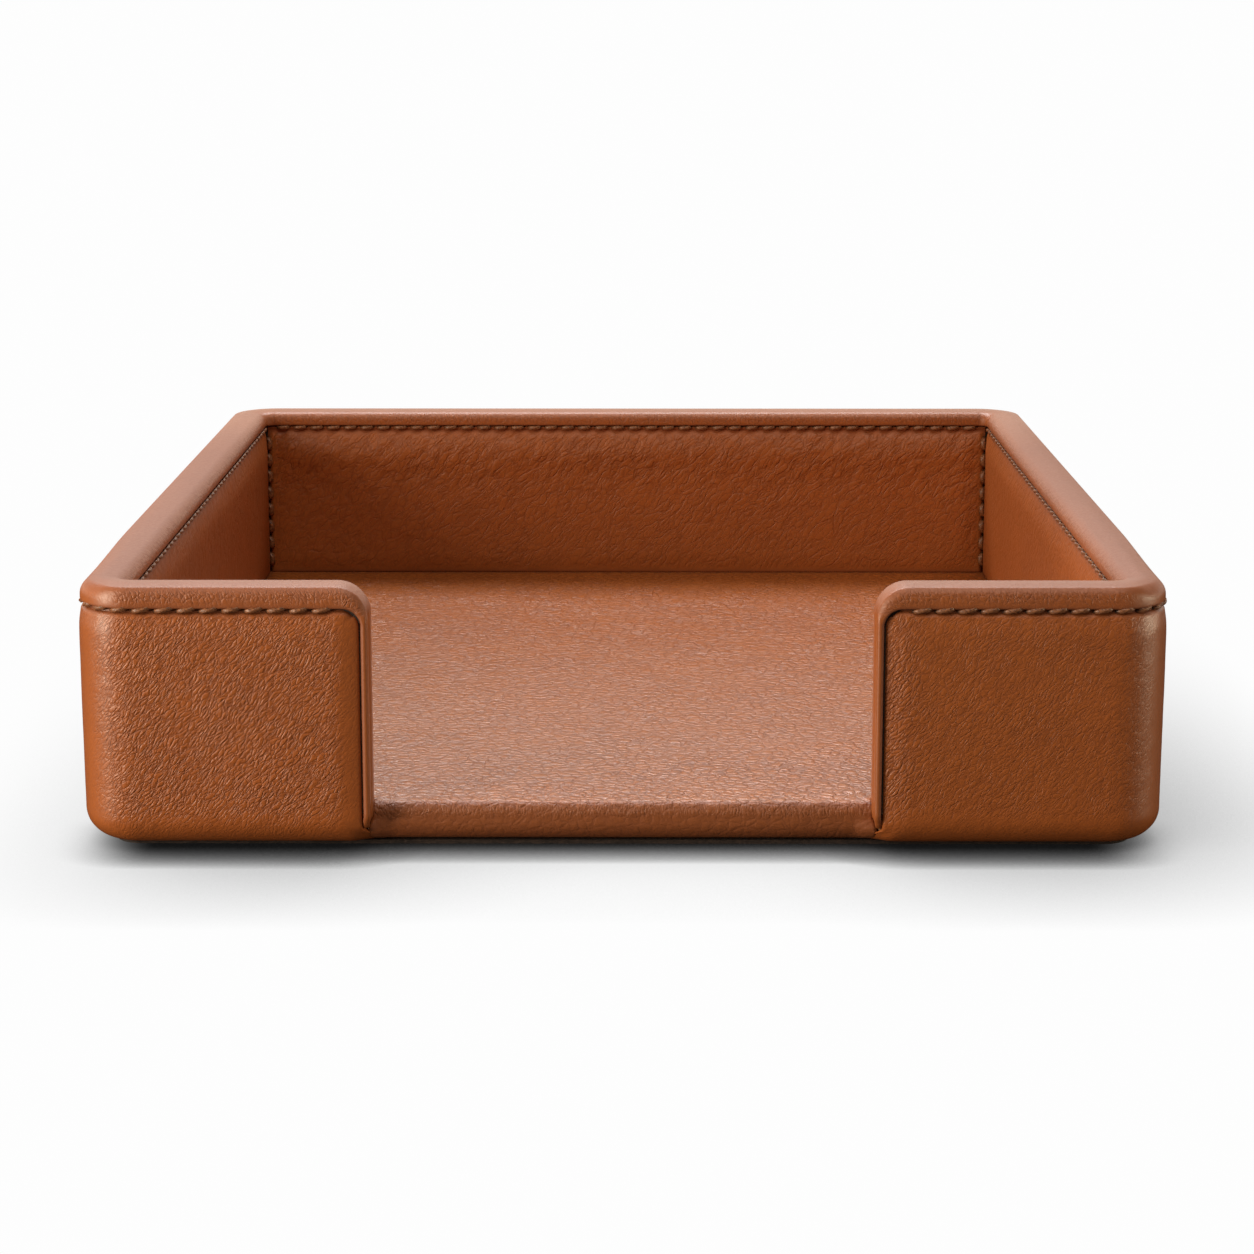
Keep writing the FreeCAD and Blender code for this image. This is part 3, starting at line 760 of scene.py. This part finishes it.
def buildRimBinding():
    columns = walkRim()
    wall, thick = tray["wall"], tray["leather"]
    points, hideMap, finish = [], [], []
    for place, outward, up, outerLeaf, innerLeaf, phase, run in columns:
        onStrip = 1 - softStep(0.0, 0.35, up.z)
        tuck = (1 - softStep(0, 2.6, place.z - rim["foot"])) * onStrip
        hole = holeAt(phase) if phase > 0 else 0.0
        drawn = softStep(0.1, 0.4, abs(outward.x)) * softStep(0.02, 0.2, abs(outward.y))
        edge = rim["edgeRadius"] + (rim["beadRadius"] - rim["edgeRadius"]) * onStrip
        outerRadius = rim["outerRadius"]
        outerRadius += rim["cornerRound"] * softStep(-0.99, -0.72, outward.y) * softStep(-60, -100, place.y)
        outerRadius += (rim["beadRadius"] - outerRadius) * onStrip
        outer = leafProfile(outerLeaf, outerRadius, edge)
        onSide = outward.x ** 2
        innerRadius = rim["innerRadius"] + rim["sideRound"] * onSide
        inner = leafProfile(innerLeaf, innerRadius, rim["edgeRadius"])
        section = []
        for depth, drop in outer:
            share = drop / rim["outerLeaf"]
            pinch = rim["pinch"] * share ** 2 * (1 - onStrip)
            ruck = rim["ruck"] * (hole + 0.8 * swell(run, drop, 3.1, 1.7)) * share * (1 - onStrip)
            ruck *= 1 - 0.6 * drawn
            lean = rim["lean"] * (1 - share) ** 2 * (1 - depth / outerRadius) * (1 - onStrip)
            # painted shade: the leaf darkens towards its edge at the seam
            section.append((depth + pinch + ruck + lean, drop, 1 - softStep(0.1, 0.7, outerLeaf - drop)))
        flat = outerRadius + 0.15
        # painted shade on the top of the binding at the front and sides, fading out towards the back
        topShade = rim["topShade"] * (1 + 0.7 * onSide) * (1 - onStrip) * softStep(110, 40, place.y)
        for share in rim["flatShares"]:
            depth = flat + (rim["flatEnd"] - flat) * share
            dip = rim["beadDip"] * math.exp(-((depth - rim["beadAt"]) / rim["beadReach"]) ** 2) * onStrip
            crown = math.sin(math.pi * (depth - outerRadius) / (wall - innerRadius - outerRadius))
            section.append((depth, dip - rim["crown"] * crown, 0.0))
        for depth, drop in reversed(inner):
            pinch = 0.6 * rim["pinch"] * (drop / rim["innerLeaf"]) ** 2 * (1 - onStrip)
            section.append((wall - depth - pinch, drop, 1 - softStep(0.1, 0.7, innerLeaf - drop)))
        innerDrop, outerDrop = innerLeaf - 0.05, outerLeaf - 0.05
        section += [
            (wall - thick, innerDrop, 0), (wall - thick, min(2.4, innerDrop - 0.05), 0),
            (wall - 2.2, thick, 0), (wall / 2, thick, 0), (2.2, thick, 0),
            (thick, min(2.4, outerDrop - 0.05), 0), (thick, outerDrop, 0),
        ]
        v = 0.0
        for k, (depth, drop, pressedShade) in enumerate(section):
            if k:
                v += math.dist(section[k - 1][:2], (depth, drop))
            shift = rim["tuckIn"] * tuck * (1 - depth / wall)
            points.append(tuple(place - outward * (depth + shift) - up * (drop + rim["tuckDown"] * tuck)))
            hideMap.append((run, v, 40.0))
            onLeaf = softStep(0.4, 1.2, drop) * (1 - softStep(2.2, 3.8, drop))
            grain = (0.4 + 0.9 * onLeaf) * (1 - 0.8 * onStrip) * (1 - pressedShade) * (1 - 0.8 * drawn)
            pressedShade = max(pressedShade, topShade * (1 - softStep(0, 2.4, drop)))
            finish.append((grain, pressedShade, rim["wax"]))
    faces = sectionFaces(len(columns), len(points) // len(columns))
    return makePiece("rimBinding", points, faces, hideMap, finish, rimLeather, ["rim_binding"])


rimBinding = buildRimBinding()
print("rim binding", len(rimBinding.data.polygons), "faces")


# Inner panels

panel = {
    "top": tray["innerSeam"] - tray["seamGap"] / 2,
    "edgeRadius": 0.9,
    "cornerRadius": 1.5,
    "footRadius": 0.35,
    "tuck": 0.8,
    "bulge": 0.4,
    "topRoll": 1.0,
    "topReach": 6.5,
    "belly": 0.6,
    "bellyAt": 7,
    "bellyReach": 4.5,
    "deepest": 0.95,
    "pucker": 0.16,
    "crumple": 0.42,
    "foldTilt": math.radians(-52),
    "foldLength": 6,
    "foldWidth": 2.6,
    "swell": 0.12,
    "swellSize": 22,
    "tight": 0.15,
    "edgeSteps": [0, 0.06, 0.2, 0.42, 0.75, 1.1, 1.5],
    "step": 0.85,
    "rowStep": 0.85,
    "stitch": 4.7,
}
sideReach = insideY + 0.1
backReach = insideX + 0.1
stubEnd = tray["openHalf"] + tray["stripWidth"] + tray["groove"]
# each panel: left end as seen from inside the tray, direction to the right, direction into the tray, width
panelPlaces = {
    "back": ((-backReach, insideY), (1, 0), (0, -1), 2 * backReach),
    "left": ((-insideX, -sideReach), (0, 1), (1, 0), 2 * sideReach),
    "right": ((insideX, sideReach), (0, -1), (-1, 0), 2 * sideReach),
    "front_left": ((-stubEnd, -insideY), (-1, 0), (0, 1), backReach - stubEnd),
    "front_right": ((backReach, -insideY), (-1, 0), (0, 1), backReach - stubEnd),
}


def edgedSteps(length, edgeSteps, step):
    inner = spread(edgeSteps[-1], length - edgeSteps[-1], step)
    return edgeSteps + inner + [length - x for x in reversed(edgeSteps)]


def buildInnerPanel(name, seed):
    (startX, startY), (alongX, alongY), (inX, inY), width = panelPlaces[name]
    height = panel["top"] - tray["floorTop"]
    across = edgedSteps(width, panel["edgeSteps"], panel["step"])
    down = edgedSteps(height, panel["edgeSteps"], panel["rowStep"])
    count = round(width / panel["stitch"])
    thick = tray["leather"]
    # only the long back panel is plump, the others are drawn tight
    plump = 1.0 if name == "back" else panel["tight"]
    topRoll = panel["topRoll"] * (0.45 + 0.55 * plump)
    points, hideMap, finish = [], [], []
    for a in across:
        fromSide = min(a, width - a)
        hole = holeAt(count * a / width)
        rows = []
        for b in down:
            edge = min(fromSide, b, height - b)
            depth = max(turnedEdge(b, panel["edgeRadius"]), 0.8 * turnedEdge(fromSide, panel["cornerRadius"]))
            depth += turnedEdge(height - b, panel["footRadius"])
            depth -= panel["bulge"] * softStep(0.4, 7, min(fromSide, b)) * softStep(0, 5, height - b)
            depth += topRoll * max(0.0, 1 - b / panel["topReach"]) ** 2
            depth += panel["pucker"] * hole * math.exp(-((b - 0.5) / 1.8) ** 2)
            depth = min(depth, panel["deepest"])
            fullness = math.exp(-((b - panel["bellyAt"]) / panel["bellyReach"]) ** 2)
            depth -= plump * panel["belly"] * fullness * softStep(0.4, 7, fromSide)
            wrinkle = crumple(a, b, seed, panel["foldTilt"], panel["foldLength"], panel["foldWidth"]) - 0.5
            wrinkle *= plump * softStep(0.3, 1.8, edge) * (1 - 0.75 * softStep(4, 24, b))
            depth -= panel["crumple"] * wrinkle
            depth -= panel["swell"] * swell(a, b, seed + 3, panel["swellSize"]) * softStep(1, 6, edge)
            grain = softStep(0.4, 2.5, edge) * (0.6 + 0.4 * (1 - softStep(6, height, b)))
            grain *= 0.4 + 0.6 * plump
            # painted shade: the panel darkens towards its edges at the seams, corners and floor
            rows.append((depth, b, grain, 1 - softStep(0.1, 1.4, edge)))
        rows += [(thick, height, 0, 0), (thick, height / 2, 0, 0), (thick, -panel["tuck"], 0, 0)]
        rows += [(0.8, -panel["tuck"], 0, 1), (0.62, -0.4 * panel["tuck"], 0, 1)]
        for depth, b, grain, pressedShade in rows:
            x = startX + alongX * a - inX * depth
            y = startY + alongY * a - inY * depth
            points.append((x, y, panel["top"] - b))
            hideMap.append((a, b, 20.0 * seed))
            finish.append((grain, pressedShade, 0.0))
    faces = sectionFaces(len(across), len(points) // len(across))
    node = name + "_inner_panel"
    return makePiece(camelName(node), points, faces, hideMap, finish, panelLeather, [node])


for number, panelName in enumerate(panelPlaces):
    made = buildInnerPanel(panelName, 2.0 + 3 * number)
    print(made.name, len(made.data.polygons), "faces")


# Floor lining with the lip

floor = {
    "reachX": 102.6,
    "reachY": 112.6,
    "lipFront": 116.0,
    "lipTopRadius": 2.2,
    "lipBottomRadius": 4.4,
    "hem": 12.0,
    "sideStep": 1.6,
    "lengthStep": 1.9,
    "fineFrom": -90.0,
    "frontStep": 0.6,
    "lipStep": 0.6,
    "wave": 0.07,
    "waveSize": 26,
    "ripple": 0.05,
    "crinkle": 0.16,
    "bunch": 0.3,
    "flare": 1.4,
    "underStrip": 0.9,
}


def buildFloorLining():
    edge = tray["openHalf"]
    outerX = spread(edge, floor["reachX"], floor["sideStep"]) + [floor["reachX"]]
    middleX = [-edge] + spread(-edge, edge, floor["lipStep"]) + [edge]
    xs = [-x for x in reversed(outerX)] + middleX + outerX
    frontY = -floor["reachY"]
    fineFrom = floor["fineFrom"]
    ys = [floor["reachY"]] + spread(floor["reachY"], fineFrom, floor["lengthStep"]) + [fineFrom]
    ys += spread(fineFrom, frontY, floor["frontStep"]) + [frontY]
    top = tray["floorTop"]
    points, hideMap, finish = [], [], []

    def surface(x, y):
        inside = min(insideX - abs(x), insideY - y)
        fromLip = floor["lipFront"] + y
        rise = floor["wave"] * swell(x, y, 11.0, floor["waveSize"]) * softStep(0, 8, inside)
        rise += floor["ripple"] * (crumple(x, y, 4.4, 0.1, 9, 3) - 0.5) * softStep(0, 6, inside)
        nearLip = softStep(-104, -112, y) * (1 - softStep(50, 53, abs(x)))
        folds = crumple(x, y, 6.1, math.radians(14), 3.4, 1.5) - 0.5
        bunch = crumple(abs(x), y, 2.7, math.radians(24), 5.0, 1.3) - 0.5
        atCorner = softStep(34, 48, abs(x)) * softStep(-103, -109, y) * (1 - softStep(50, 51.5, abs(x)))
        bunched = floor["bunch"] * bunch * atCorner * softStep(0, 3, fromLip)
        return rise * softStep(0.5, 6, fromLip) + floor["crinkle"] * 0.45 * folds * nearLip + bunched

    for y in ys:
        for x in xs:
            points.append((x, y, top + surface(x, y)))
            hideMap.append((x, y, 90.0))
            inside = min(insideX - abs(x), insideY - y)
            grain = 0.8 + 0.2 * softStep(-60, -100, y)
            # painted shade: the floor darkens where it meets the walls
            finish.append((grain, 0.8 * (1 - softStep(-0.2, 2.2, inside)), 0.0))
    wide = len(xs)
    faces = []
    for j in range(len(ys) - 1):
        for i in range(wide - 1):
            faces.append((j * wide + i, j * wide + i + 1, (j + 1) * wide + i + 1, (j + 1) * wide + i))

    # over the lip, down its face and back underneath, as (y, z, forward, upward)
    upR, lowR, under = floor["lipTopRadius"], floor["lipBottomRadius"], tray["underside"]
    front = -floor["lipFront"]
    profile = [(y, top, 0, 1) for y in spread(frontY, front + upR, 0.4)]
    for sine, cosine in quarterTurn(8):
        profile.append((front + upR * (1 - sine), top - upR * (1 - cosine), sine, cosine))
    profile += [(front, z, 1, 0) for z in spread(top - upR, under + lowR, 0.5)]
    for sine, cosine in quarterTurn(8):
        profile.append((front + lowR * (1 - cosine), under + lowR * (1 - sine), cosine, -sine))
    profile += [(y, under, 0, -1) for y in spread(front + lowR, front + floor["hem"], 2.5)]
    first = len(outerX)
    upper = [(len(ys) - 1) * wide + first + i for i in range(len(middleX))]
    v = -frontY
    before = (frontY, top)
    for y, z, forward, upward in profile:
        v += math.dist(before, (y, z))
        before = (y, z)
        lower = []
        for x in middleX:
            turning = softStep(0.0, 0.5, forward) * softStep(-0.4, 0.3, upward)
            pleat = crumple(x, v, 8.8, math.radians(76), 3, 1.5) - 0.5
            folds = crumple(x, -v, 6.1, math.radians(14), 3.4, 1.5) - 0.5
            push = floor["crinkle"] * (0.6 * pleat * turning + 0.45 * folds * max(upward, 0))
            push *= softStep(-0.6, 0, upward)
            low = 1 - softStep(3.0, 6.5, z)
            flare = floor["flare"] * softStep(46.5, edge, abs(x)) * low * max(forward, 0)
            aside = math.copysign(floor["underStrip"] * softStep(48.5, edge, abs(x)) * low, x)
            lower.append(len(points))
            points.append((x + aside, y - push * forward - flare, z + push * max(upward, 0)))
            hideMap.append((x, -v, 90.0))
            onRoll = softStep(0.1, 0.7, forward) * softStep(5.4, 7.4, z)
            # painted shade: the lip's face and underside are darkened
            pressedShade = 0.25 * softStep(0.1, -0.8, upward) + 0.75 * softStep(0.0, 0.5, forward)
            finish.append((0.3 + 0.6 * softStep(0.3, 0.95, upward), pressedShade, 0.35 * onRoll))
        for i in range(len(middleX) - 1):
            faces.append((upper[i], upper[i + 1], lower[i + 1], lower[i]))
        upper = lower
    piece = makePiece(
        "floorLining", points, faces, hideMap, finish, floorLeather, ["floor_lining"],
    )
    body = piece.modifiers.new("hideThickness", "SOLIDIFY")
    body.thickness = tray["leather"] * mm
    body.offset = -1
    return piece


floorLining = buildFloorLining()
print("floor lining", len(floorLining.data.polygons), "faces")


# Thread

thread = {
    "radius": 0.5,
    "flat": 0.82,
    "taper": 0.5,
    "length": 4.85,
    "rowLength": 0.9,
    "proud": 0.42,
    "lift": 0.4,
    "dive": 0.85,
    "sink": 0.75,
    "frontSink": 0.5,
    "outerSlant": 0.38,
    "innerSlant": 0.14,
    "outerGauge": 0.98,
    "innerGauge": 1.1,
    "sideGauge": 0.8,
    "cornerGauge": 1.55,
    "plies": 3,
    "plyDepth": 0.11,
    "turnsPerStitch": 1.4,
    "rings": 15,
    "around": 12,
}


# one stitch: it comes up at the lower left, lies over the seam and goes down at the upper right
def addStitch(points, faces, hideMap, finish, centre, along, outward, length, gauge, slant):
    upward = outward.cross(along)
    rings, around = thread["rings"], thread["around"]
    first = len(points)
    slip = noise.noise(centre * 0.37)
    for i in range(rings):
        t = i / (rings - 1) * 2 - 1
        lift = thread["proud"] - (thread["proud"] + thread["dive"]) * abs(t) ** 2.8
        middle = centre + along * (t * length / 2) + outward * lift
        middle += upward * (slant * t + 0.06 * slip)
        slim = 1 - thread["taper"] * abs(t) ** 3.2
        for j in range(around):
            angle = 2 * math.pi * j / around
            twist = thread["plies"] * angle - math.pi * thread["turnsPerStitch"] * t * thread["plies"] / 2
            radius = gauge * thread["radius"] * slim * (1 + thread["plyDepth"] * math.cos(twist))
            across = outward * (thread["flat"] * radius * math.cos(angle))
            points.append(tuple(middle + across + upward * (radius * math.sin(angle))))
            hideMap.append((t * length / 2 + first * 0.01, angle * thread["radius"], 0.0))
            # painted shade at the stitch ends as they go into the holes
            finish.append((1.0, softStep(0.7, 0.95, abs(t)), 0.0))
    for i in range(rings - 1):
        for j in range(around):
            k = (j + 1) % around
            a, b = first + i * around, first + (i + 1) * around
            faces.append((a + j, a + k, b + k, b + j))
    faces.append(tuple(first + j for j in range(around)))
    faces.append(tuple(first + (rings - 1) * around + j for j in range(around)))


def buildStitches(node, places, gauge, slant):
    points, faces, hideMap, finish = [], [], [], []
    for centre, along, outward, length in places:
        addStitch(points, faces, hideMap, finish, centre, along, outward, length, gauge, slant)
    return makePiece(camelName(node), points, faces, hideMap, finish, waxedThread, [node])


def rowPlaces(start, stop, outward, count):
    along = (stop - start).normalized()
    pitch = (stop - start).length / count
    length = pitch * thread["rowLength"]
    return [(start + along * pitch * (k + 0.5), along, outward, length) for k in range(count)]


def outerPlaces():
    places = []
    z = tray["outerSeam"] + thread["lift"]
    for index, (start, stop, fromAngle, toAngle, count) in enumerate(outerRuns):
        if index == 0:
            start = (-tray["seamStart"], start[1])
        if index == frontRuns[1]:
            stop = (tray["seamStart"], stop[1])
        depth = thread["frontSink" if index in frontRuns else "sink"]
        for k in range(count):
            share = (k + 0.5) / count
            outward = Vector((*facingAt(fromAngle, toAngle, share), 0))
            centre = Vector((*atShare(start, stop, share), z)) + outward * (tray["corner"] - depth)
            along = Vector((0, 0, 1)).cross(outward)
            pitch = (math.dist(start, stop) or math.pi / 2 * (tray["corner"] - depth)) / count
            places.append((centre, along, outward, pitch * thread["length"] / panel["stitch"]))
    return places


buildStitches("outer_rim_stitches", outerPlaces(), thread["outerGauge"], thread["outerSlant"])
seamX, seamY, seamZ = insideX + 0.4, insideY + 0.4, tray["innerSeam"]
reachX, reachY = insideX - 2, insideY - 2
innerRows = {
    "back": ((-reachX, seamY), (reachX, seamY), (0, -1), 42),
    "left": ((-seamX, -reachY), (-seamX, reachY), (1, 0), 46),
    "right": ((seamX, reachY), (seamX, -reachY), (-1, 0), 46),
    "front_left": ((-tray["seamStart"], -seamY), (-reachX, -seamY), (0, 1), 9),
    "front_right": ((reachX, -seamY), (tray["seamStart"], -seamY), (0, 1), 9),
}
for rowName, (start, stop, facing, count) in innerRows.items():
    places = rowPlaces(Vector((*start, seamZ)), Vector((*stop, seamZ)), Vector((*facing, 0)), count)
    gauge = thread["innerGauge" if facing[1] else "sideGauge"]
    buildStitches(rowName + "_inner_stitches", places, gauge, thread["innerSlant"])
uprightX, uprightY = insideX - 0.35, insideY - 0.35
for rowName, signX, signY in (
    ("back_left", -1, 1), ("back_right", 1, 1), ("front_left", -1, -1), ("front_right", 1, -1),
):
    inward = Vector((-signX, -signY, 0)).normalized()
    foot = Vector((signX * uprightX, signY * uprightY, tray["floorTop"] + 1.5))
    head = Vector((foot.x, foot.y, panel["top"] - 1.5))
    places = rowPlaces(foot, head, inward, 8)
    buildStitches(rowName + "_corner_stitches", places, thread["cornerGauge"], thread["innerSlant"])
print("thread sewn")


# Stage, light and camera

white = 0.985


def buildStage():
    mesh = bpy.data.meshes.new("tableTop")
    far = 4.0
    mesh.from_pydata([(-far, -far, 0), (far, -far, 0), (far, far, 0), (-far, far, 0)], [], [(0, 1, 2, 3)])
    table = addObject("tableTop", mesh)
    material, tree = startMaterial("whiteTableWithPaintedShadow")
    spot = split(tree, put(tree, "TexCoord").outputs["Object"])

    # painted shadow of the tray: the table glows white, dimmed by ambient occlusion leaning back and to the
    # left, as light from behind on the left would leave it
    def shelter(reach, lean, power):
        lean = put(tree, "CombineXYZ", {"X": lean[0], "Y": lean[1], "Z": lean[2]}).outputs[0]
        clear = put(tree, "AmbientOcclusion", {"Distance": reach, "Normal": lean}, samples=8).outputs["AO"]
        return maths(tree, "POWER", clear, power)

    inFront = maths(
        tree, "MULTIPLY", ranged(tree, spot["Y"], -0.105, -0.095, 1.0, 0.0),
        ranged(tree, maths(tree, "ABSOLUTE", spot["X"]), 0.095, 0.118, 1.0, 0.0),
    )
    close = mixedLevel(tree, inFront, 1.0, shelter(0.0125, (0, 0.72, 0.69), 2.15))
    forward = ranged(tree, spot["Y"], -0.1, 0.09, 1.0, 0.1)
    soft = mixedLevel(tree, forward, 1.0, shelter(0.048, (-0.5, 0.55, 0.67), 0.7))
    shade = maths(tree, "MULTIPLY", maths(tree, "MULTIPLY", close, soft), white)
    near = put(tree, "Emission", {"Color": (1, 1, 1, 1), "Strength": shade})

    # the leather mirrors a dark table
    path = put(tree, "LightPath").outputs
    unseen = put(tree, "BsdfDiffuse", {
        "Color": mixed(tree, path["Is Glossy Ray"], (0.18, 0.18, 0.18, 1), (0.012, 0.011, 0.009, 1)),
    })
    blend = put(tree, "MixShader", {0: path["Is Camera Ray"], 1: unseen.outputs[0], 2: near.outputs[0]})
    put(tree, "OutputMaterial", {"Surface": blend.outputs[0]})
    mesh.materials.append(material)


def buildWorld():
    world = bpy.data.worlds.new("whiteStudio")
    bpy.context.scene.world = world
    world.use_nodes = True
    tree = world.node_tree
    tree.nodes.clear()
    aim = split(tree, put(tree, "TexCoord").outputs["Generated"])
    behind = ranged(tree, aim["Y"], -0.15, 0.5)
    low = ranged(tree, aim["Z"], 0.3, 0.8, 1.0, 0.22)
    sweep = maths(tree, "ADD", maths(tree, "MULTIPLY", maths(tree, "MULTIPLY", behind, low), 0.98), 0.03)
    path = put(tree, "LightPath").outputs
    shiny = maths(tree, "MAXIMUM", path["Is Glossy Ray"], path["Is Transmission Ray"])
    level = mixedLevel(tree, shiny, 0.05, sweep)
    level = mixedLevel(tree, path["Is Camera Ray"], level, white)
    tint = mixed(tree, shiny, (1, 1, 1, 1), (1, 0.99, 0.88, 1))
    shade = put(tree, "Background", {"Color": tint, "Strength": level})
    put(tree, "OutputWorld", {"Surface": shade.outputs[0]})


def addLamp(name, place, target, size, power, colour):
    data = bpy.data.lights.new(name, "AREA")
    data.shape = "RECTANGLE"
    data.size, data.size_y = size
    data.energy = power
    data.color = colour
    lamp = addObject(name, data)
    lamp.location = place
    lamp.visible_camera = False
    lamp.rotation_euler = (Vector(target) - Vector(place)).to_track_quat("-Z", "Y").to_euler()


def addCamera():
    data = bpy.data.cameras.new("camera")
    data.lens = 80.61
    data.shift_y = -0.1
    data.clip_start = 0.01
    camera = addObject("camera", data)
    camera.location = (0.00282, -0.66420, 0.17296)
    camera.rotation_euler = (math.radians(90 - 10.505), 0, math.radians(0.196))
    bpy.context.scene.camera = camera


buildStage()
buildWorld()
addLamp("keyLeft", (-0.62, -0.38, 0.25), (-0.05, -0.1, 0.03), (0.4, 0.4), 3.9, (1.0, 0.88, 0.7))
addLamp("cornerLow", (-0.64, -0.44, 0.032), (-0.1, -0.11, 0.03), (0.16, 0.06), 2.0, (1.0, 0.89, 0.72))
addLamp("rightLow", (0.7, -0.2, 0.06), (0.11, -0.1, 0.03), (0.3, 0.11), 1.45, (1.0, 0.86, 0.62))
addLamp("fillTop", (0.1, -0.45, 0.85), (0, 0.03, 0.02), (0.6, 0.6), 3.25, (1.0, 0.92, 0.8))
addLamp("backOverhead", (-0.15, 0.55, 0.95), (0, 0, 0.03), (0.9, 0.45), 12.0, (1.0, 1.0, 1.0))
addCamera()
